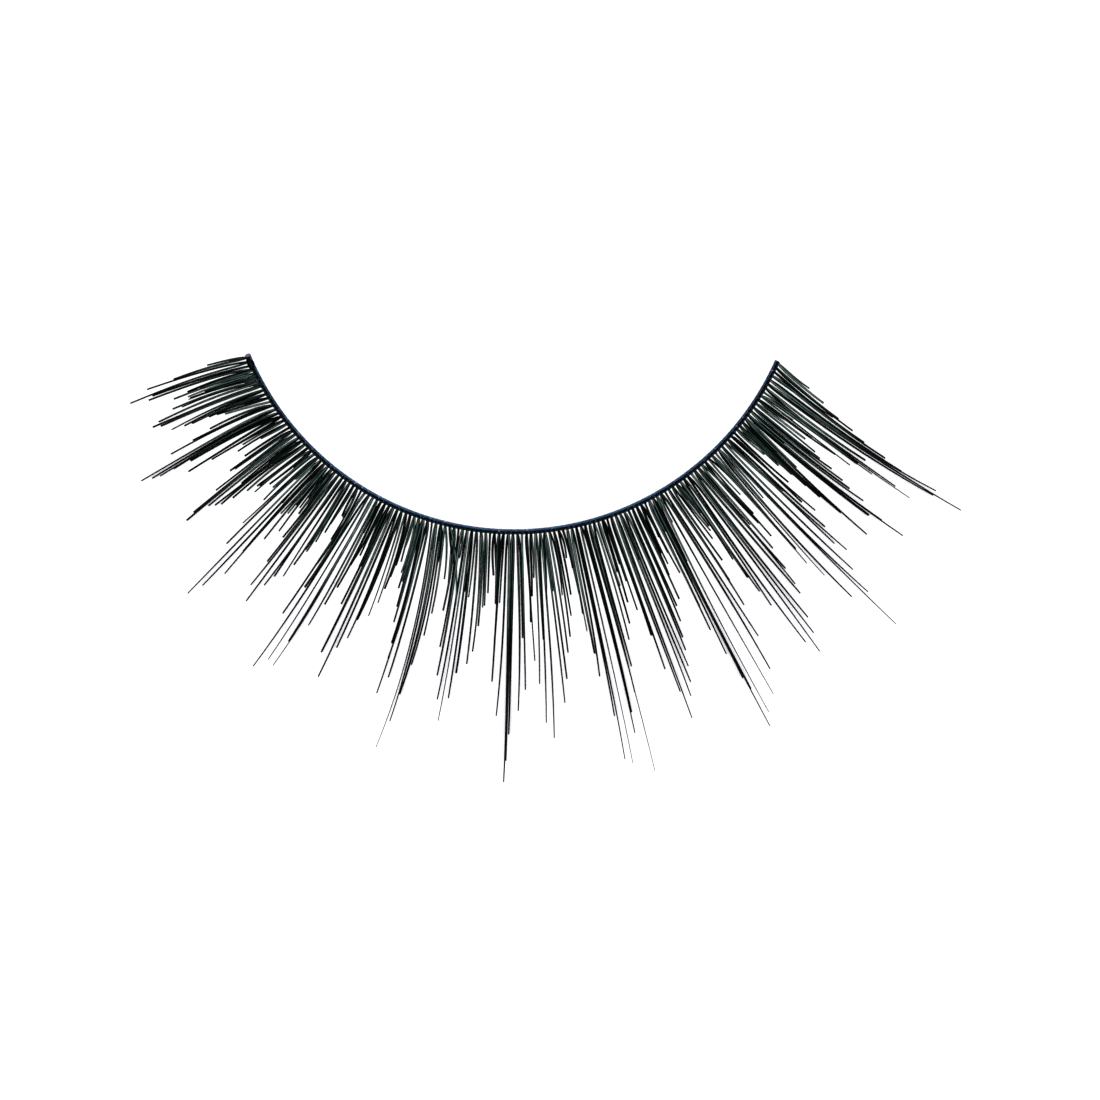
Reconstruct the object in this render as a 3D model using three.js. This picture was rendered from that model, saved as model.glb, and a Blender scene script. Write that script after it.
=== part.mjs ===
// False eyelash strip: a fine curved band with a fringe of pointed lash locks along its outer edge.
// Millimetres. +X runs along the strip from its left end to its right end, the lashes point towards -Y
// in the middle and fan out to both sides, and +Z is up, the way their tips curl.
// The origin is the middle of the band's flat underside.
import * as THREE from 'three';
import { mergeVertices } from 'three/addons/utils/BufferGeometryUtils.js';

// Band
const bandLength = 33;          // along the curve of its inner edge
const bandRadius = 14.2;        // of that edge
const bandWidth = 0.14;
const bandHeight = 0.22;
const bandRounding = 0.03;      // of its long edges
const bandSteps = 66;

// Heads of the locks, the row of knots along the band
const seatGap = 0.02;           // between the band and a head
const headDepth = 0.12;
const headHeight = 0.2;
const lockGap = 0.04;           // between neighbouring heads

// Strands
const longestReach = 12.8;      // of the longest lash, seen from above, from the band's inner edge
const strandPitch = 0.3;        // from strand to strand along the band
const strandFill = 0.66;        // share of that pitch that a strand takes up at its root
const tipSize = 0.07;           // width and thickness of a strand's tip
const lyingReach = 3;           // how far out the lashes lie on the surface before they curl up
const tipLift = 3.4;            // height of the longest tip
const strandStep = 2.2;         // longest straight stretch of a strand

// A row for each lock, from the left end of the band to the right. rootEnd, tipFrom and tipTo are
// places along the band, as shares of its length: where the lock's head ends, and the places that its
// first and last tips lie straight out from. peakAt is the place of its longest strand, as a share of
// the lock. first, longest and last are the reach of those strands, as shares of the longest reach.
// turnBack is how far the tip of a longest lash would bend back again, as a share of the band's length.
const locks = [
  // rootEnd, tipFrom, tipTo, peakAt, first, longest, last, turnBack
  [0.029, -0.013, 0.010, 0.30, 0.30, 0.50, 0.30, 0],
  [0.0745, 0.016, 0.056, 0.28, 0.24, 0.46, 0.16, 0],
  [0.118, 0.060, 0.109, 0.20, 0.34, 0.60, 0.12, 0],
  [0.166, 0.112, 0.160, 0.32, 0.20, 0.56, 0.20, 0],
  [0.201, 0.165, 0.199, 0.38, 0.22, 0.75, 0.34, 0],
  [0.210, 0.202, 0.209, 0.50, 0.20, 0.33, 0.18, 0],
  [0.256, 0.211, 0.259, 0.27, 0.22, 0.62, 0.14, 0],
  [0.301, 0.262, 0.300, 0.08, 0.50, 0.81, 0.28, -0.006],
  [0.347, 0.303, 0.350, 0.30, 0.22, 0.73, 0.22, -0.003],
  [0.375, 0.352, 0.380, 0.70, 0.20, 0.71, 0.64, -0.004],
  [0.4085, 0.383, 0.416, 0.08, 0.80, 0.91, 0.12, -0.008],
  [0.4445, 0.418, 0.443, 0.60, 0.24, 0.76, 0.56, -0.004],
  [0.474, 0.451, 0.474, 0.08, 0.45, 0.53, 0.16, -0.003],
  [0.487, 0.478, 0.487, 0.65, 0.30, 0.71, 0.55, -0.003],
  [0.503, 0.4905, 0.4975, 0.30, 0.62, 0.965, 0.60, -0.003],
  [0.528, 0.504, 0.526, 0.02, 0.66, 0.70, 0.18, -0.002],
  [0.5425, 0.525, 0.536, 0.90, 0.59, 0.81, 0.78, -0.004],
  [0.571, 0.547, 0.570, 0.06, 0.58, 0.675, 0.26, -0.002],
  [0.6005, 0.578, 0.603, 0.70, 0.17, 0.95, 0.84, -0.004],
  [0.638, 0.6045, 0.638, 0.18, 0.76, 1.00, 0.20, -0.001],
  [0.650, 0.640, 0.647, 0.85, 0.38, 0.64, 0.60, -0.002],
  [0.695, 0.652, 0.695, 0.08, 0.70, 0.845, 0.18, -0.002],
  [0.7255, 0.697, 0.711, 0.85, 0.16, 1.00, 0.75, -0.001],
  [0.7585, 0.714, 0.758, 0.06, 0.90, 0.945, 0.22, -0.001],
  [0.8165, 0.760, 0.814, 0.30, 0.30, 0.865, 0.28, 0],
  [0.879, 0.819, 0.875, 0.34, 0.38, 0.97, 0.16, 0.002],
  [0.899, 0.877, 0.887, 0.25, 0.28, 0.66, 0.34, 0.001],
  [0.940, 0.893, 0.930, 0.12, 0.60, 0.77, 0.15, 0.004],
  [0.962, 0.9245, 0.936, 0.40, 0.26, 0.71, 0.50, 0],
  [1.0, 0.938, 0.989, 0.12, 0.70, 0.89, 0.13, 0.004],
];

const blackThread = new THREE.MeshStandardMaterial({ color: 0x11151d, roughness: 0.35, metalness: 0 });
const blackFibre = new THREE.MeshStandardMaterial({ color: 0x161c1c, roughness: 0.5, metalness: 0 });

const halfAngle = bandLength / bandRadius / 2;
const headStart = bandWidth + seatGap;
const headEnd = headStart + headDepth;

// The angle, from the middle of the band, of a place given as a share of the band's length.
const angleOf = (share) => (2 * share - 1) * halfAngle;
const mix = (from, to, share) => from + (to - from) * share;

// A point seen from the centre of the band's curve: an angle, a reach out from the inner edge, a height.
function polar(angle, reach, height) {
  const radius = bandRadius + reach;
  return [radius * Math.sin(angle), -radius * Math.cos(angle), height];
}

// Height of a lash's underside: it lies flat at first and then curls up more and more.
function liftAt(reach) {
  const curled = Math.max(0, reach - lyingReach) / (longestReach - lyingReach);
  return tipLift * curled * curled;
}

// Reach of the strand at a share of its lock's width.
function reachAt(lock, across, count) {
  if (Math.abs(across - lock.peakAt) <= 0.5 / count) return longestReach * lock.longest;
  if (across < lock.peakAt) return longestReach * mix(lock.first, lock.longest, across / lock.peakAt);
  return longestReach * mix(lock.longest, lock.last, (across - lock.peakAt) / (1 - lock.peakAt));
}

// A closed mesh from quads whose corners run anticlockwise seen from outside.
function meshOf(quads) {
  const corners = quads.flatMap(([a, b, c, d]) => [a, b, c, a, c, d]);
  const geometry = new THREE.BufferGeometry();
  geometry.setAttribute('position', new THREE.Float32BufferAttribute(corners.flat(), 3));
  const merged = mergeVertices(geometry, 1e-5);
  merged.computeVertexNormals();
  return merged;
}

// The four corners of a slice across a strand or a head: low left, low right, high right, high left.
function slice(left, right, reach, low, high) {
  return [polar(left, reach, low), polar(right, reach, low), polar(right, reach, high), polar(left, reach, high)];
}

// The four walls from one slice to the next one further out.
function walls(near, far) {
  return near.map((corner, side) => {
    const next = (side + 1) % near.length;
    return [corner, near[next], far[next], far[side]];
  });
}

// The slices of one strand, from its cell on the head to its tip.
function strandSlices(cell, tipAngle, turnBack, reach) {
  const steps = Math.max(2, Math.ceil(reach / strandStep));
  const rootAngle = (cell.left + cell.right) / 2;
  const rootWidth = (cell.right - cell.left) * (bandRadius + headEnd);
  const slices = [slice(cell.left, cell.right, headEnd, 0, headHeight)];
  for (let step = 1; step <= steps; step += 1) {
    const along = step / steps;
    const out = mix(headEnd, reach, along);
    const lean = (tipAngle - turnBack - rootAngle) * along * (2 - along);
    const angle = rootAngle + lean + turnBack * along ** 3;
    const half = mix(rootWidth, tipSize, along) / (bandRadius + out) / 2;
    const low = liftAt(out);
    slices.push(slice(angle - half, angle + half, out, low, low + mix(headHeight, tipSize, along)));
  }
  return slices;
}

// The walls and the tip of one strand of a lock, in angles from the lock's middle.
function strandQuads(lock, middle, strand, count) {
  const reach = reachAt(lock, strand.across, count);
  const tipAngle = angleOf(mix(lock.tipFrom, lock.tipTo, strand.across)) - middle;
  const turnBack = 2 * halfAngle * lock.turnBack * reach / longestReach;
  const slices = strandSlices(strand, tipAngle, turnBack, reach);
  const sides = slices.slice(1).flatMap((far, index) => walls(slices[index], far));
  return [...sides, slices.at(-1)];
}

// One lock: a head with its strands growing out of its front.
function lockGeometry(lock, middle) {
  const gapAngle = lockGap / (bandRadius + headEnd);
  const left = angleOf(lock.rootStart) + gapAngle / 2 - middle;
  const right = angleOf(lock.rootEnd) - gapAngle / 2 - middle;
  const count = Math.max(2, Math.round((lock.rootEnd - lock.rootStart) * bandLength / strandPitch));
  const half = (right - left) / count * strandFill / 2;
  const strands = Array.from({ length: count }, (_, index) => {
    const across = (index + 0.5) / count;
    const centre = mix(left, right, across);
    return { across, left: centre - half, right: centre + half };
  });
  const edges = [left, ...strands.flatMap((strand) => [strand.left, strand.right]), right];
  const quads = [];
  edges.slice(1).forEach((edge, index) => {
    const back = slice(edges[index], edge, headStart, 0, headHeight);
    const front = slice(edges[index], edge, headEnd, 0, headHeight);
    const [under, rightEnd, top, leftEnd] = walls(back, front);
    quads.push(under, top, [...back].reverse());
    if (index === 0) quads.push(leftEnd);
    if (index === edges.length - 2) quads.push(rightEnd);
    if (index % 2 === 0) quads.push(front);
    else quads.push(...strandQuads(lock, middle, strands[(index - 1) / 2], count));
  });
  return meshOf(quads);
}

// The band: a flat arc with rounded long edges.
function bandGeometry() {
  const inner = bandRadius + bandRounding;
  const outer = bandRadius + bandWidth - bandRounding;
  const start = -Math.PI / 2 - halfAngle;
  const end = -Math.PI / 2 + halfAngle;
  const outline = new THREE.Shape();
  outline.absarc(0, 0, outer, start, end, false);
  outline.absarc(0, 0, inner, end, start, true);
  const geometry = new THREE.ExtrudeGeometry(outline, {
    depth: bandHeight - 2 * bandRounding,
    bevelThickness: bandRounding,
    bevelSize: bandRounding,
    bevelSegments: 1,
    curveSegments: bandSteps,
  });
  geometry.translate(0, 0, bandRounding);
  return geometry;
}

const strip = new THREE.Group();
const arcCentre = new THREE.Group();
arcCentre.position.y = bandRadius + bandWidth / 2;
strip.add(arcCentre);

const band = new THREE.Mesh(bandGeometry(), blackThread);
band.name = 'lash_band';
arcCentre.add(band);

let rootStart = 0;
locks.forEach(([rootEnd, tipFrom, tipTo, peakAt, first, longest, last, turnBack], index) => {
  const lock = { rootStart, rootEnd, tipFrom, tipTo, peakAt, first, longest, last, turnBack };
  const middle = angleOf((rootStart + rootEnd) / 2);
  const mesh = new THREE.Mesh(lockGeometry(lock, middle), blackFibre);
  mesh.name = `lash_lock_${String(index + 1).padStart(2, '0')}`;
  mesh.rotation.z = middle;
  arcCentre.add(mesh);
  rootStart = rootEnd;
});

export default strip;
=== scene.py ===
import math
import random
from collections import namedtuple

import bpy
import numpy as np
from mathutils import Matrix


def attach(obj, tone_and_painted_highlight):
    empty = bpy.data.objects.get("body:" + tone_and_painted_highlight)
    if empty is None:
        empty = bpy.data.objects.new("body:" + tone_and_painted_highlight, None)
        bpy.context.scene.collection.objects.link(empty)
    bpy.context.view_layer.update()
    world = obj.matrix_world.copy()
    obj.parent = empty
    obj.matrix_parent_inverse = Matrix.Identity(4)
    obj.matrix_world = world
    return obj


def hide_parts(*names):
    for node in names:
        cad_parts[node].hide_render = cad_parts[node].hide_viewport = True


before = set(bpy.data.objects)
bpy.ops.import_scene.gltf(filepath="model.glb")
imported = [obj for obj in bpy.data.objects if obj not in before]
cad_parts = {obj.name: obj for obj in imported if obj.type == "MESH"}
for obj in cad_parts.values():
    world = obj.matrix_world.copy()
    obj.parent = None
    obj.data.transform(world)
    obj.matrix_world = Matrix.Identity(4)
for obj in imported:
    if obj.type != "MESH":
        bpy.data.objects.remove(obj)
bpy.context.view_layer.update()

# Every length below is in millimetres, and MM turns it into metres.
MM = 0.001

# A reach, here and below, is measured outwards from the band's inner edge, and a place along the band is
# a share of its length.

# Band: its inner edge is an arc, and its underside is flat on the surface
BAND_LENGTH = 33.0
BAND_RADIUS = 14.2
BAND_WIDTH = 0.14
BAND_HEIGHT = 0.22
BAND_SHIFT = -0.005         # place of the band's left end
PLIES = 3
PLY_TURN = 0.84             # length in which the plies wind round once
PLY_STEPS_A_TURN = 24
GROOVE_DEPTH = 0.14         # share of the thread's half width
GROOVE_SHARPNESS = 4
THREAD_START = -0.025       # reach of the thread's inner side
THREAD_SIDES = 24

# The thread is darker and less blue towards its ends, between these distances behind its middle, painted
# shade where its painted blue highlight falls off, and darker in its lower half, between these heights,
# painted shade underneath
END_FROM = 1.0
END_TO = 6.5
UNDER_TO = 0.08
UNDER_FROM = 0.16

# Knots: each is two fine loops round a cord along the outer side of the band
KNOT_COUNT = 148
KNOT_START = 0.12           # reach of the loops' inner side
KNOT_END = 0.26
KNOT_HEIGHT = 0.2
KNOT_FIBRE_RADIUS = 0.024
KNOT_SIDES = 8
KNOT_STEPS = 16
KNOT_SPREAD = 0.05          # between the two loops
KNOT_SLANT = 0.05           # along the band, from a loop's inner side to its outer side
CORD_REACH = 0.19
CORD_RADIUS = 0.05
CORD_LIFT = 0.02            # of its underside
CORD_SIDES = 10
CORD_STEPS_A_KNOT = 3

# The form of a lash: it leaves its knot, lies on the surface and then curls up
LONGEST_REACH = 12.8
LYING_REACH = 3.0
TIP_LIFT = 3.4              # of the longest lash
CURL_RANGE = (0.9, 1.05)    # share of the lift, from lash to lash
FIBRE_ROOT = 0.2            # reach of the root, inside its knot
FIBRE_RADIUS = 0.052
FIBRE_SIDES = 8
FIBRE_STEP = 0.6
FEWEST_STEPS = 8
STEP_CROWDING = 1.5         # above 1, the steps are shorter near the root
THICKNESS_RANGE = (0.88, 1.12)
ROOT_SWELL = 0.1            # share that the root is thicker by
SWELL_REACH = 4.5
TAPER_FROM = 0.3            # share of the lash where it starts to taper
SHORT_TIP = 0.8             # thickness of a tip, on a short lash and on the longest
LONG_TIP = 0.4
BEND_LEFT = 2.2             # reach in which most of the lean is made, at the band's left end
BEND_RIGHT = 5.0            # and at its right end
SWAY = 0.05                 # of a lash's middle to either side

# How the lashes stand: in even places, drawn in to their knots, and in layers over the surface
ROOT_PITCH = 0.12
ROOT_SCATTER = 0.02
ROOT_HEIGHT = 0.05
PINCH_REACH = 0.3
LAYER_STEP = 0.09
LAYER_REACH = 0.6
FILL_SEED = 11
FILL_CHANCE = 0.22          # of one more fill lash beside a place
FILL_REACH = (1.6, 4.2)
FILL_THICKNESS = 0.78

# The shade of a lash goes from 0, black, to 1, a pale grey green near the band that is partly painted
# sheen.
# The lashes take turns at two chances of being pale.
SHADE_SEED = 7
PALE_CHANCES = (0.42, 0.72)
PALE_SHADES = (0.6, 1.0)
PALE_LAYERS = (0, 3)
DARK_SHADES = (0.0, 0.4)
DARK_LAYERS = (1, 2)

# The units of the table of locks
THOUSAND = 1000
PERCENT = 100

# A row for each lock, from the left end of the band to the right. root_end is the place along the band
# where the lock's row of roots ends, in thousandths of the band's length. turn_back is how far the tip of
# a longest lash would bend back again, in the same unit. lashes are the lock's lashes in their order: the
# place that a tip lies straight out from, in the same unit, its reach as a percentage of the longest
# reach, and how thick the lash is where it isn't an ordinary one.
LOCKS = [
    # root_end, turn_back, lashes
    (29, 0, ((-13, 17), (-12, 31), (-12.5, 42), (-5.5, 50), (-4, 41, 1.3), (-1, 43), (8, 28), (9, 34))),
    (74.5, 0, ((17, 22), (16, 28), (19, 36), (25, 43), (27, 46), (30, 43, 1.3), (39, 40, 0.7), (42, 35),
        (44, 32), (47, 25), (48, 21), (51, 14), (54, 19))),
    (118, 0, ((60, 27), (61, 35), (61.5, 45), (69, 60), (72.5, 56), (75, 53), (76, 47, 1.3),
        (79, 40, 1.3), (87.5, 43), (91.5, 33), (93, 27), (99, 20), (102, 23), (107, 13))),
    (166, 0, ((112, 22), (115, 30), (122, 39), (125, 51), (127, 55, 1.3), (130, 45), (134, 43),
        (137.5, 41), (141, 36), (146, 30), (150, 26))),
    (201, 0, ((159, 22), (166, 11), (165, 22), (167.5, 28), (169, 40, 0.7), (172, 50), (178, 74),
        (183, 68), (190, 48, 1.3), (191, 59), (198.5, 39))),
    (210, 0, ((202, 21), (205.5, 33), (209, 16))),
    (256, 0, ((211, 23), (213.5, 34), (216.5, 45), (218, 56), (224, 62), (229, 53), (232, 48),
        (239.5, 46, 0.7), (242, 40), (245.5, 33), (248, 28), (251, 23), (251, 19), (258, 14))),
    (301, -6, ((262, 24), (263, 35), (265, 45, 1.3), (260, 58), (263, 81), (271, 76, 0.7),
        (277.5, 77, 0.7), (279, 66, 1.3), (288, 57), (292.5, 47), (296, 39), (298, 29))),
    (347, -3, ((303, 24), (307, 19), (308, 28), (308, 44), (311, 64, 1.3), (318, 73), (322.5, 60),
        (328.5, 55), (330, 47, 1.6), (340, 44, 0.7), (344.5, 38, 0.7), (346, 32), (347.5, 27), (349, 22))),
    (375, -4, ((352, 15), (353.5, 20), (358, 24), (361, 30), (366, 37), (368, 43), (372.5, 51, 1.3),
        (373.5, 57), (373, 71), (379, 64))),
    (408.5, -8, ((385.5, 91, 0.7), (391, 80), (393.5, 69, 1.3), (397.5, 57), (403, 45), (406, 36),
        (412, 22), (415, 12))),
    (444.5, -4, ((418, 23), (418, 34), (422, 48), (424.5, 59), (428.5, 68), (432.5, 76, 0.7),
        (438.5, 67), (442.5, 57, 1.3))),
    (474, -3, ((452, 53), (456.5, 48), (460, 38), (465, 30), (468, 25), (473.5, 18))),
    (487, -3, ((478, 29), (479, 43), (478.5, 59))),
    (503, -3, ((484, 72), (492, 97, 1.3), (493.5, 89, 1.3), (495.5, 79, 1.3))),
    (528, -2, ((504, 70), (509.5, 42), (511, 62), (519, 36), (521.5, 51, 0.7), (522, 26), (525.5, 19))),
    (542.5, -4, ((525, 60, 0.7), (532, 43, 1.3), (529, 75), (535, 81))),
    (571, -2, ((547.5, 68), (552, 59), (556.5, 49), (561, 43), (565.5, 35), (569, 27))),
    (600.5, -4, ((577, 17), (579, 27), (579, 35), (580, 42, 0.7), (583.5, 51, 1.3), (584, 60), (590, 76),
        (591, 93), (596.5, 95, 0.7))),
    (638, -1, ((604, 84), (605.5, 76, 1.3), (612, 100, 0.7), (613, 69), (616.5, 59), (621.5, 49),
        (627, 43), (629, 28), (632, 35), (637, 20))),
    (650, -2, ((638, 27), (639.5, 39), (645, 50, 1.3), (646.5, 64))),
    (695, -2, ((652.5, 74), (654, 85), (660, 77), (664.5, 72), (668, 66), (671.5, 60), (674, 55),
        (678.5, 49), (681.5, 43), (687, 41), (688, 31), (691, 22))),
    (725.5, -1, ((697, 16), (698.5, 23), (700.5, 32), (703, 47, 1.3), (702, 57), (705, 68),
        (708, 79, 1.3), (710, 84), (709, 100), (713.5, 95, 0.7))),
    (758.5, -1, ((724, 90, 0.7), (732.5, 81), (739, 68), (743.5, 55), (744.5, 44, 1.3), (750, 36),
        (754.5, 27), (758, 24))),
    (816.5, 0, ((760.5, 38), (762.5, 47, 1.3), (764, 54), (765.5, 61), (771, 80), (776, 86), (781.5, 79),
        (786, 73), (794.5, 64), (796.5, 60), (799, 53), (802.5, 44), (810, 40), (809, 33), (812, 29))),
    (879, 2, ((821, 19), (820.5, 39), (820, 50, 1.3), (818.5, 57, 0.7), (823, 65, 0.7), (827.5, 78),
        (837.5, 97), (840.5, 81), (845.5, 71), (855, 64), (851.5, 59), (857.5, 52), (863.5, 45),
        (860.5, 39), (867.5, 30), (874, 16))),
    (899, 1, ((875, 23), (877, 29), (877.5, 36), (877.5, 43), (879, 53, 1.3), (878.5, 66))),
    (931, 4, ((894, 62, 1.6), (897.5, 77), (897.5, 67), (902, 57), (904, 50), (906.5, 46), (910, 40),
        (912, 34), (915, 31), (921, 25, 1.3), (928, 16))),
    (950, 0, ((926.5, 27), (925.5, 38), (924.5, 45, 0.7), (930, 47, 1.6), (929, 54, 0.7), (931, 64),
        (929, 71, 0.7))),
    (995, 4, ((937.5, 49, 1.3), (942, 78), (943, 90), (946.5, 78), (946.5, 63), (949.5, 55), (953, 45),
        (958, 39), (962.5, 32), (970.5, 24))),
]

# The photograph's frame: the centre and radius of the band's inner edge in its pixels
PHOTO_SIDE_PX = 1100
ARC_CENTRE_PX = (514.0, 243.2)
ARC_RADIUS_PX = 286.4
CAMERA_HEIGHT = 420.0
SENSOR_WIDTH = 36.0
CLIP_START = 10.0
CLIP_END = 10000.0

# Studio: a floor, and soft boxes in a ring high over the strip, in metres, watts and degrees
FLOOR_HALF_SIDE = 2.0
LIGHT_COUNT = 4
LIGHT_TURN = 45
LIGHT_REACH = 0.06
LIGHT_HEIGHT = 0.75
LIGHT_SIZE = 0.14
LIGHT_POWER = 1.05
WORLD_STRENGTH = 0.2
WORLD_COLOUR = (0.93, 0.88, 1.0)

# Drops of dried glue on the band near its left end. share and reach are the place of a drop's middle,
# length and width are its half sizes along and across the band, and shade goes from black to lilac grey.
DROP_STEPS = 14
DROP_END = 0.98             # share of the half length where a drop ends in a small flat face
GLUE_DROPS = [
    # share, reach, length, width, height, shade
    (-0.004, 0.12, 0.09, 0.15, 0.26, 1.0),
    (0.009, 0.15, 0.38, 0.18, 0.26, 0.0),
    (0.0240, 0.36, 0.08, 0.24, 0.22, 0.4),
    (0.0280, 0.50, 0.09, 0.38, 0.23, 0.6),
    (0.0325, 0.56, 0.09, 0.42, 0.24, 0.7),
    (0.0370, 0.46, 0.09, 0.33, 0.23, 0.6),
    (0.0412, 0.36, 0.07, 0.24, 0.22, 0.4),
]

HALF_ANGLE = BAND_LENGTH / BAND_RADIUS / 2
ARC_CENTRE_Y = BAND_RADIUS + BAND_WIDTH / 2


def mix(start, end, share):
    return start + (end - start) * share


def place(share, reach, height):
    """A point at a share of the band's length, a reach out from its inner edge, and a height."""
    angle = (2 * np.asarray(share, dtype=float) - 1) * HALF_ANGLE
    radius = BAND_RADIUS + np.asarray(reach, dtype=float)
    x = radius * np.sin(angle)
    y = ARC_CENTRE_Y - radius * np.cos(angle)
    return np.stack([x, y, np.broadcast_to(height, x.shape)], axis=-1)


Lash = namedtuple("Lash", "root knot tip reach thickness", defaults=[1.0])


def lean_at(root, reach):
    """How far a lash has leant over on its way out: fast near its root, then less and less."""
    return 1 - np.exp(-(reach - FIBRE_ROOT) / mix(BEND_LEFT, BEND_RIGHT, root))


def knot_at(root):
    """The place of the knot that is nearest to a root."""
    return BAND_SHIFT + (math.floor((root - BAND_SHIFT) * KNOT_COUNT) + 0.5) / KNOT_COUNT


def fill_lash(draw, root, beside):
    """A short fine lash that leans the way the lash beside it does."""
    reach = draw.uniform(*FILL_REACH)
    share = lean_at(root, reach) / lean_at(root, beside.reach)
    return Lash(root, knot_at(root), root + (beside.tip - beside.root) * share, reach, FILL_THICKNESS)


def locks():
    """Each lock's number, how far its tips bend back, and its lashes, all as shares of the band.

    The roots stand in evenly spaced places, sometimes two in one. A short lash fills each place that
    the lock's own lashes leave free, and more of them stand between the places here and there.
    """
    draw = random.Random(FILL_SEED)
    start = BAND_SHIFT
    for number, (root_end, turn_back, rows) in enumerate(LOCKS, start=1):
        width = root_end / THOUSAND - start
        places = round(width * BAND_LENGTH / ROOT_PITCH)
        lashes = []
        for stand in range(places):
            root = start + (stand + 0.5) * width / places
            own = [row for index, row in enumerate(rows) if index * places // len(rows) == stand]
            for tip, percent, *thickness in own:
                reach = LONGEST_REACH * percent / PERCENT
                lashes.append(Lash(root, knot_at(root), tip / THOUSAND, reach, *thickness))
            if not own:
                lashes.append(fill_lash(draw, root, lashes[-1]))
            if draw.random() < FILL_CHANCE:
                lashes.append(fill_lash(draw, root + width / places / 2, lashes[-1]))
        yield number, turn_back / THOUSAND, lashes
        start = root_end / THOUSAND


def lift_at(reach):
    """Height of a lash over the surface: flat at first, then curling up more and more."""
    curled = np.maximum(0, reach - LYING_REACH) / (LONGEST_REACH - LYING_REACH)
    return TIP_LIFT * curled ** 2


class Tubes:
    """Collects round tubes, each a closed body, into the arrays of one mesh."""

    def __init__(self):
        self.points = []
        self.faces = []
        self.shade = []
        self.along = []
        self.crown = []
        self.count = 0

    def add(self, path, radii, sides, shade=0.0, along=0.0, reference=(0, 0, 1), closed=False):
        """One tube along a path; reference is a direction that the path never runs along."""
        path = np.asarray(path, dtype=float)
        steps = len(path)
        ahead = np.roll(path, -1, axis=0)
        behind = np.roll(path, 1, axis=0)
        if not closed:
            ahead[-1] = path[-1]
            behind[0] = path[0]
        tangent = ahead - behind
        tangent /= np.linalg.norm(tangent, axis=1)[:, None]
        side = np.cross(tangent, np.broadcast_to(np.asarray(reference, dtype=float), tangent.shape))
        side /= np.linalg.norm(side, axis=1)[:, None]
        other = np.cross(side, tangent)
        turn = np.arange(sides) * 2 * math.pi / sides
        ring = np.cos(turn)[None, :, None] * side[:, None] + np.sin(turn)[None, :, None] * other[:, None]
        radii = np.broadcast_to(radii, (steps,))
        rings = path[:, None] + ring * radii[:, None, None]
        # crown is 1 along the top of each ring; the fibre finish paints a highlight there.
        self.add_rings(rings, shade, along, closed, np.maximum(0, np.sin(turn)))

    def add_rings(self, rings, shade=0.0, along=0.0, closed=False, crown=0.0):
        """One tube from its rings of points, an array of steps by sides by three."""
        steps, sides = rings.shape[:2]
        self.points.append(rings.reshape(-1, 3))
        start = self.count
        for step in range(steps if closed else steps - 1):
            near = start + step * sides
            far = start + (step + 1) % steps * sides
            for corner in range(sides):
                following = (corner + 1) % sides
                self.faces.append((near + corner, near + following, far + following, far + corner))
        if not closed:
            last = start + (steps - 1) * sides
            self.faces.append(tuple(start + corner for corner in reversed(range(sides))))
            self.faces.append(tuple(last + corner for corner in range(sides)))
        self.shade.append(np.full(steps * sides, shade))
        self.along.append(np.repeat(np.broadcast_to(along, (steps,)), sides))
        self.crown.append(np.tile(np.broadcast_to(crown, (sides,)), steps))
        self.count += steps * sides

    def piece(self, name, material):
        mesh = bpy.data.meshes.new(name)
        mesh.from_pydata((np.concatenate(self.points) * MM).tolist(), [], self.faces)
        for label, values in (("shade", self.shade), ("along", self.along), ("crown", self.crown)):
            layer = mesh.attributes.new(label, "FLOAT", "POINT")
            layer.data.foreach_set("value", np.concatenate(values).astype(np.float32))
        mesh.shade_smooth()
        mesh.materials.append(material)
        mesh.update()
        piece = bpy.data.objects.new(name, mesh)
        bpy.context.scene.collection.objects.link(piece)
        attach(piece, "root")
        return piece


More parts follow.
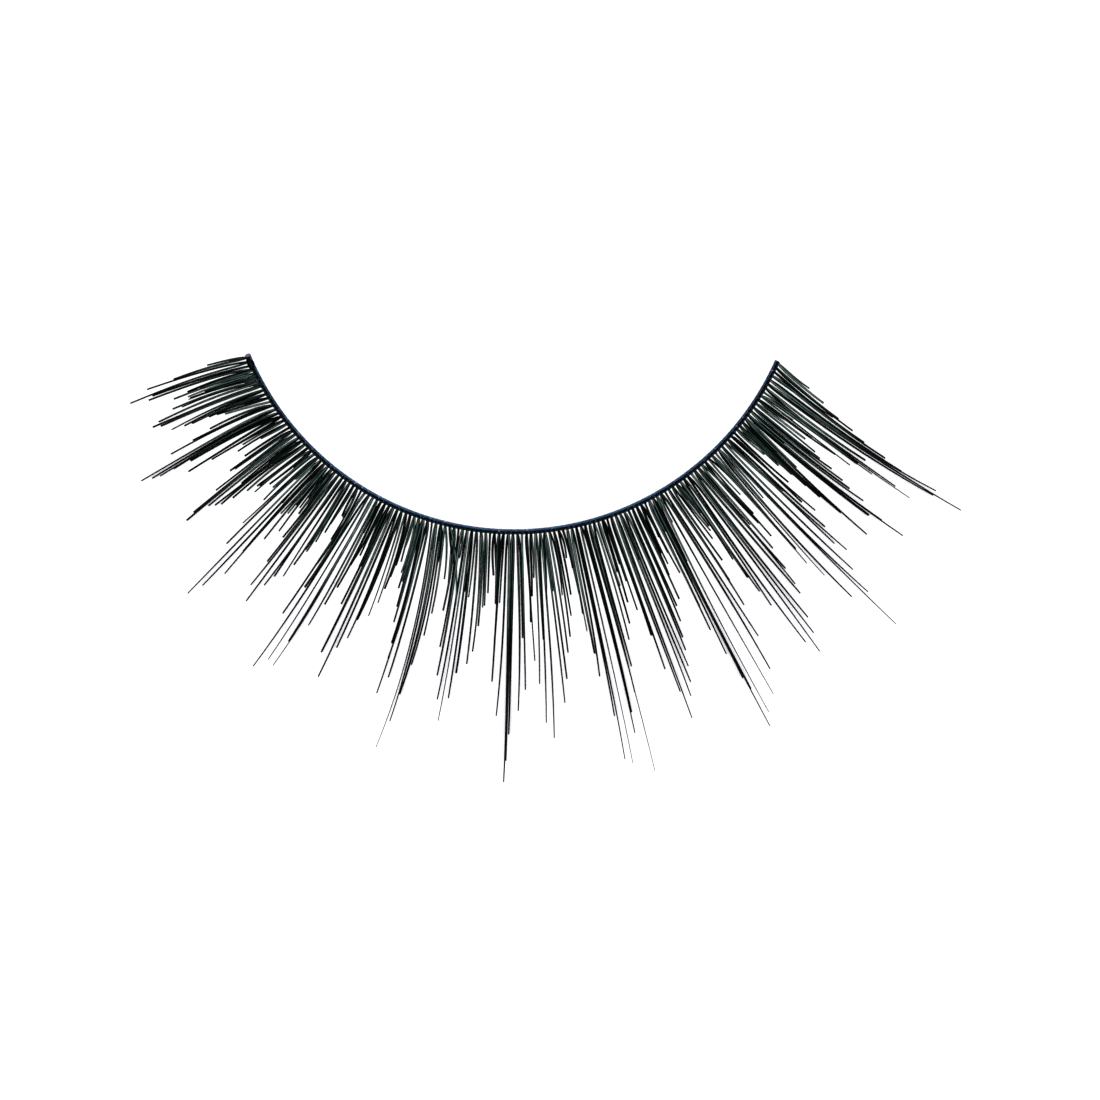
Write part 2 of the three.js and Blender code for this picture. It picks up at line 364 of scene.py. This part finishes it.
class Finish:
    """A material whose node tree is put together step by step."""

    def __init__(self, name):
        self.material = bpy.data.materials.new(name)
        self.material.use_nodes = True
        self.tree = self.material.node_tree
        self.shader = self.tree.nodes["Principled BSDF"]
        self.place = self.node("ShaderNodeTexCoord").outputs["Object"]

    def node(self, kind, **settings):
        made = self.tree.nodes.new(kind)
        for key, value in settings.items():
            setattr(made, key, value)
        return made

    def link(self, source, target):
        self.tree.links.new(source, target)

    def attribute(self, name):
        return self.node("ShaderNodeAttribute", attribute_name=name).outputs["Fac"]

    def noise(self, scale, detail=3.0):
        texture = self.node("ShaderNodeTexNoise")
        texture.inputs["Scale"].default_value = scale
        texture.inputs["Detail"].default_value = detail
        self.link(self.place, texture.inputs["Vector"])
        return texture.outputs["Fac"]

    def ramp(self, factor, stops):
        ramp = self.node("ShaderNodeValToRGB")
        elements = ramp.color_ramp.elements
        while len(elements) < len(stops):
            elements.new(0.5)
        for element, (position, colour) in zip(elements, stops):
            element.position = position
            element.color = (*colour, 1)
        self.link(factor, ramp.inputs["Fac"])
        return ramp.outputs["Color"]

    def vector(self, operation, source, constant=(0, 0, 0)):
        made = self.node("ShaderNodeVectorMath", operation=operation)
        self.link(source, made.inputs[0])
        made.inputs[1].default_value = constant
        return made

    def span(self, length, start, end):
        """How far a length has got on its way from start to end, from 0 to 1."""
        made = self.node("ShaderNodeMapRange")
        made.inputs["From Min"].default_value = start * MM
        made.inputs["From Max"].default_value = end * MM
        self.link(length, made.inputs["Value"])
        return made.outputs["Result"]

    def blend(self, kind, first, second):
        made = self.node("ShaderNodeMix", data_type="RGBA", blend_type=kind)
        made.inputs["Factor"].default_value = 1.0
        self.link(first, made.inputs["A"])
        self.link(second, made.inputs["B"])
        return made.outputs["Result"]

    def bump(self, height, depth, strength):
        bump = self.node("ShaderNodeBump")
        bump.inputs["Distance"].default_value = depth * MM
        bump.inputs["Strength"].default_value = strength
        self.link(height, bump.inputs["Height"])
        self.link(bump.outputs["Normal"], self.shader.inputs["Normal"])

    def set(self, **values):
        """Sets the shader's own inputs, with underscores for the blanks in their names."""
        for key, value in values.items():
            self.shader.inputs[key.replace("_", " ")].default_value = value


def fibre_finish():
    """Near-black fibre: near the band each lash has its own shade, the pale ones partly painted sheen, with
    a painted highlight along its top as a lighter core, and olive at its root.
    """
    finish = Finish("lash_fibre")
    # Own shade of each lash; its pale grey green end, kept near the band by the fade, is partly painted
    # sheen.
    own = finish.ramp(finish.attribute("shade"), [
        (0.0, (0.0010, 0.0030, 0.0027)),
        (0.5, (0.010, 0.019, 0.017)),
        (0.75, (0.060, 0.090, 0.082)),
        (1.0, (0.18, 0.25, 0.23)),
    ])
    fade = finish.ramp(finish.attribute("along"), [
        (0.18, (1.0, 1.0, 1.0)),
        (0.46, (0.08, 0.08, 0.08)),
    ])
    # Painted highlight: each fibre is lighter along its top, where crown is 1, and darker at its sides, as
    # if lit from above.
    painted_top_highlight = finish.ramp(finish.attribute("crown"), [
        (0.72, (0.08, 0.08, 0.08)),
        (1.0, (1.0, 1.0, 1.0)),
    ])
    tone_and_painted_highlight = finish.blend("MULTIPLY", finish.blend("MULTIPLY", own, fade), painted_top_highlight)
    root = finish.ramp(finish.attribute("along"), [
        (0.0, (0.006, 0.006, 0.002)),
        (0.03, (0.0, 0.0, 0.0)),
    ])
    mottle = finish.ramp(finish.noise(2600.0), [(0.3, (0.55, 0.55, 0.55)), (0.7, (1.25, 1.25, 1.25))])
    toned = finish.blend("MULTIPLY", tone_and_painted_highlight, mottle)
    finish.link(finish.blend("ADD", toned, root), finish.shader.inputs["Base Color"])
    finish.bump(finish.noise(9000.0, 2.0), depth=0.004, strength=0.4)
    finish.set(Roughness=0.4, IOR=1.5, Specular_IOR_Level=0.07, Specular_Tint=(0.7, 1.0, 0.9, 1.0))
    return finish.material


def thread_finish():
    """Blue-black twisted thread, with a painted pale blue highlight along its inner edge, painted shade at
    its ends and underneath, and painted lilac glints.
    """
    finish = Finish("band_thread")
    from_centre = finish.vector("SUBTRACT", finish.place, (0, ARC_CENTRE_Y * MM, 0)).outputs["Vector"]
    level = finish.vector("MULTIPLY", from_centre, (1, 1, 0)).outputs["Vector"]
    radius = finish.vector("LENGTH", level).outputs["Value"]
    across = finish.span(radius, BAND_RADIUS + THREAD_START, BAND_RADIUS + BAND_WIDTH)
    # The pale blue at the inner edge is a painted highlight; the navy and black further out are the
    # thread's own colour.
    tone_and_painted_highlight = finish.ramp(across, [
        (0.0, (0.45, 0.62, 0.85)),
        (0.1, (0.09, 0.19, 0.34)),
        (0.35, (0.026, 0.080, 0.15)),
        (0.8, (0.009, 0.026, 0.040)),
        (1.0, (0.003, 0.008, 0.010)),
    ])
    mottle = finish.ramp(finish.noise(5200.0), [(0.3, (0.5, 0.5, 0.55)), (0.7, (1.4, 1.35, 1.3))])
    axes = finish.node("ShaderNodeSeparateXYZ")
    finish.link(finish.place, axes.inputs[0])
    # Painted shade: darker and less blue towards the ends, and darker in the lower half, which keeps the
    # painted highlight to the top.
    ends = finish.span(axes.outputs["Y"], END_FROM, END_TO)
    under = finish.span(axes.outputs["Z"], UNDER_TO, UNDER_FROM)
    painted_end_shade = finish.ramp(ends, [(0.0, (1.0, 1.0, 1.0)), (1.0, (0.35, 0.45, 0.5))])
    painted_underside_shade = finish.ramp(under, [(0.0, (0.08, 0.09, 0.1)), (1.0, (1.0, 1.0, 1.0))])
    shade = finish.blend("MULTIPLY", painted_end_shade, painted_underside_shade)
    toned = finish.blend("MULTIPLY", finish.blend("MULTIPLY", tone_and_painted_highlight, mottle), shade)
    # Painted glints: small lilac specks scattered over the thread.
    painted_glints = finish.ramp(finish.noise(7500.0, 1.0), [(0.66, (0.0, 0.0, 0.0)), (0.72, (0.22, 0.2, 0.34))])
    finish.link(finish.blend("ADD", toned, painted_glints), finish.shader.inputs["Base Color"])
    finish.bump(finish.noise(14000.0, 2.0), depth=0.005, strength=0.5)
    finish.set(Roughness=0.35, IOR=1.5, Specular_IOR_Level=0.2)
    return finish.material


def knot_finish():
    """Tarry black knots with a brown-olive cast."""
    finish = Finish("lash_knot")
    colour = finish.ramp(finish.noise(4200.0), [
        (0.3, (0.001, 0.003, 0.0035)),
        (0.55, (0.007, 0.014, 0.014)),
        (0.75, (0.020, 0.024, 0.016)),
    ])
    finish.link(colour, finish.shader.inputs["Base Color"])
    finish.bump(finish.noise(12000.0, 2.0), depth=0.004, strength=0.5)
    finish.set(Roughness=0.4, IOR=1.5, Specular_IOR_Level=0.15)
    return finish.material


def glue_finish():
    """Dried glue: nearly black where it is thin, then grey green, and lilac grey in a bead."""
    finish = Finish("dried_glue")
    colour = finish.ramp(finish.attribute("shade"), [
        (0.0, (0.0005, 0.003, 0.005)),
        (0.7, (0.038, 0.052, 0.048)),
        (1.0, (0.19, 0.16, 0.19)),
    ])
    finish.link(colour, finish.shader.inputs["Base Color"])
    finish.bump(finish.noise(9000.0, 2.0), depth=0.01, strength=0.6)
    finish.set(Roughness=0.45, IOR=1.45, Specular_IOR_Level=0.1)
    return finish.material


def floor_finish():
    finish = Finish("floor_white")
    colour = finish.ramp(finish.noise(40.0), [(0.0, (0.93, 0.93, 0.93)), (1.0, (0.95, 0.95, 0.95))])
    finish.link(colour, finish.shader.inputs["Base Color"])
    finish.set(Roughness=0.9)
    return finish.material


def band_thread(material):
    """The band: one thread with shallow grooves that wind round it, as high and as wide as the band."""
    turns = round(BAND_LENGTH / PLY_TURN)
    steps = turns * PLY_STEPS_A_TURN
    share = BAND_SHIFT + np.linspace(0, 1, steps + 1)[:, None]
    angle = np.arange(THREAD_SIDES)[None, :] * 2 * math.pi / THREAD_SIDES
    wave = np.cos(PLIES * angle - 2 * math.pi * turns * PLIES * share)
    groove = (0.5 + 0.5 * wave) ** GROOVE_SHARPNESS
    swell = 1 - GROOVE_DEPTH * groove
    reach = (THREAD_START + BAND_WIDTH) / 2 + (BAND_WIDTH - THREAD_START) / 2 * swell * np.cos(angle)
    height = BAND_HEIGHT / 2 * (1 + swell * np.sin(angle))
    tubes = Tubes()
    tubes.add_rings(place(np.broadcast_to(share, reach.shape), reach, height))
    piece = tubes.piece("band_thread", material)
    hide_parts("lash_band")


def knot_row(material):
    """Two slanted loops a knot, tied round the cord along the band's outer side."""
    tubes = Tubes()
    knots = sorted({lash.knot for _, _, lashes in locks() for lash in lashes})
    share = BAND_SHIFT + np.linspace(0, 1, len(knots) * CORD_STEPS_A_KNOT)
    tubes.add(place(share, CORD_REACH, CORD_RADIUS + CORD_LIFT), CORD_RADIUS, CORD_SIDES)
    turn = np.linspace(0, 2 * math.pi, KNOT_STEPS, endpoint=False)
    middle = (KNOT_START + KNOT_END) / 2
    half_depth = (KNOT_END - KNOT_START) / 2 - KNOT_FIBRE_RADIUS
    half_height = KNOT_HEIGHT / 2 - KNOT_FIBRE_RADIUS
    for knot in knots:
        angle = (2 * knot - 1) * HALF_ANGLE
        along_band = (math.cos(angle), math.sin(angle), 0)
        for side in (-1, 1):
            shift = side * KNOT_SPREAD / 2 + KNOT_SLANT * np.cos(turn) / 2
            loop = place(knot + shift / BAND_LENGTH, middle + half_depth * np.cos(turn),
                         KNOT_HEIGHT / 2 + half_height * np.sin(turn))
            tubes.add(loop, KNOT_FIBRE_RADIUS, KNOT_SIDES, reference=along_band, closed=True)
    piece = tubes.piece("knot_row", material)


def glue_drops(material):
    """Low drops of dried glue, each a row of rings along the band that swells in its middle."""
    tubes = Tubes()
    turn = np.arange(THREAD_SIDES)[None, :] * 2 * math.pi / THREAD_SIDES
    course = np.linspace(-DROP_END, DROP_END, DROP_STEPS + 1)[:, None]
    swell = np.sqrt(1 - course ** 2)
    for share, reach, length, width, height, shade in GLUE_DROPS:
        rings = place(np.broadcast_to(share + course * length / BAND_LENGTH, (len(course), THREAD_SIDES)),
                      reach + width * swell * np.cos(turn), height / 2 * (1 + swell * np.sin(turn)))
        tubes.add_rings(rings, shade)
    piece = tubes.piece("glue_drops", material)


def add_lash(tubes, draw, lash, turn_back, shade, layer):
    """One fibre: it leaves its knot, lies on the surface and curls up to a fine tip."""
    steps = max(FEWEST_STEPS, round(lash.reach / FIBRE_STEP))
    along = np.linspace(0, 1, steps + 1) ** STEP_CROWDING
    out = mix(FIBRE_ROOT, lash.reach, along)
    bend = turn_back * lash.reach / LONGEST_REACH
    root = lash.root + draw.uniform(-1, 1) * ROOT_SCATTER / BAND_LENGTH
    leaning = lean_at(lash.root, out) / lean_at(lash.root, lash.reach)
    share = root + (lash.tip - bend - root) * leaning + bend * along ** 3
    share = share + (lash.knot - root) * np.exp(-(out - FIBRE_ROOT) / PINCH_REACH)
    share = share + draw.uniform(-1, 1) * SWAY / BAND_LENGTH * np.sin(math.pi * along)
    thickness = draw.uniform(*THICKNESS_RANGE) * mix(1, lash.thickness, np.minimum(1, out / SWELL_REACH))
    tip_share = mix(SHORT_TIP, LONG_TIP, (lash.reach / LONGEST_REACH) ** 2)
    taper = np.clip((along - TAPER_FROM) / (1 - TAPER_FROM), 0, 1)
    swell = ROOT_SWELL * np.exp(-out / SWELL_REACH)
    radii = FIBRE_RADIUS * thickness * mix(1, tip_share, taper) * (1 + swell)
    spread = 1 - np.exp(-(out - FIBRE_ROOT) / LAYER_REACH)
    height = lift_at(out) * draw.uniform(*CURL_RANGE) + mix(ROOT_HEIGHT, layer * LAYER_STEP, spread) + radii
    tubes.add(place(share, out, height), radii, FIBRE_SIDES, shade, out / LONGEST_REACH)


def lash_locks(material):
    """The fringe, lock by lock, with the paler lashes under and over the others."""
    draw = random.Random(SHADE_SEED)
    for number, turn_back, lashes in locks():
        tubes = Tubes()
        for index, lash in enumerate(lashes):
            if draw.random() < PALE_CHANCES[index % 2]:
                shade = draw.uniform(*PALE_SHADES)
                layer = draw.choice(PALE_LAYERS)
            else:
                shade = draw.uniform(*DARK_SHADES)
                layer = DARK_LAYERS[index % 2]
            add_lash(tubes, draw, lash, turn_back, shade, layer)
        piece = tubes.piece(f"lashes_{number:02d}", material)
        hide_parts(f"lash_lock_{number:02d}")


def floor():
    side = FLOOR_HALF_SIDE
    mesh = bpy.data.meshes.new("floor")
    corners = [(-side, -side, 0), (side, -side, 0), (side, side, 0), (-side, side, 0)]
    mesh.from_pydata(corners, [], [(0, 1, 2, 3)])
    mesh.materials.append(floor_finish())
    plane = bpy.data.objects.new("floor", mesh)
    bpy.context.scene.collection.objects.link(plane)


def soft_box(number, turn):
    """A square light in the ring, at an angle round it, that points at the strip."""
    data = bpy.data.lights.new(f"soft_box_{number}", "AREA")
    data.size = LIGHT_SIZE
    data.energy = LIGHT_POWER
    light = bpy.data.objects.new(f"soft_box_{number}", data)
    light.location = (LIGHT_REACH * math.cos(turn), LIGHT_REACH * math.sin(turn), LIGHT_HEIGHT)
    light.rotation_euler = light.location.to_track_quat("Z", "Y").to_euler()
    bpy.context.scene.collection.objects.link(light)


def studio():
    scene = bpy.context.scene
    scene.view_settings.view_transform = "Standard"
    scene.view_settings.look = "High Contrast"
    world = bpy.data.worlds.new("studio")
    scene.world = world
    world.use_nodes = True
    background = world.node_tree.nodes["Background"]
    background.inputs["Color"].default_value = (*WORLD_COLOUR, 1)
    background.inputs["Strength"].default_value = WORLD_STRENGTH
    for index in range(LIGHT_COUNT):
        soft_box(index + 1, math.radians(LIGHT_TURN) + index * 2 * math.pi / LIGHT_COUNT)


def camera():
    """Straight above, with the photograph's frame."""
    mm_a_pixel = BAND_RADIUS / ARC_RADIUS_PX
    middle = PHOTO_SIDE_PX / 2
    x = (middle - ARC_CENTRE_PX[0]) * mm_a_pixel
    y = ARC_CENTRE_Y - (middle - ARC_CENTRE_PX[1]) * mm_a_pixel
    data = bpy.data.cameras.new("camera")
    data.sensor_width = SENSOR_WIDTH
    data.lens = SENSOR_WIDTH * CAMERA_HEIGHT / (PHOTO_SIDE_PX * mm_a_pixel)
    data.clip_start = CLIP_START * MM
    data.clip_end = CLIP_END * MM
    view = bpy.data.objects.new("camera", data)
    view.location = (x * MM, y * MM, CAMERA_HEIGHT * MM)
    bpy.context.scene.collection.objects.link(view)
    bpy.context.scene.camera = view


camera()
studio()
floor()
band_thread(thread_finish())
knot_row(knot_finish())
glue_drops(glue_finish())
lash_locks(fibre_finish())
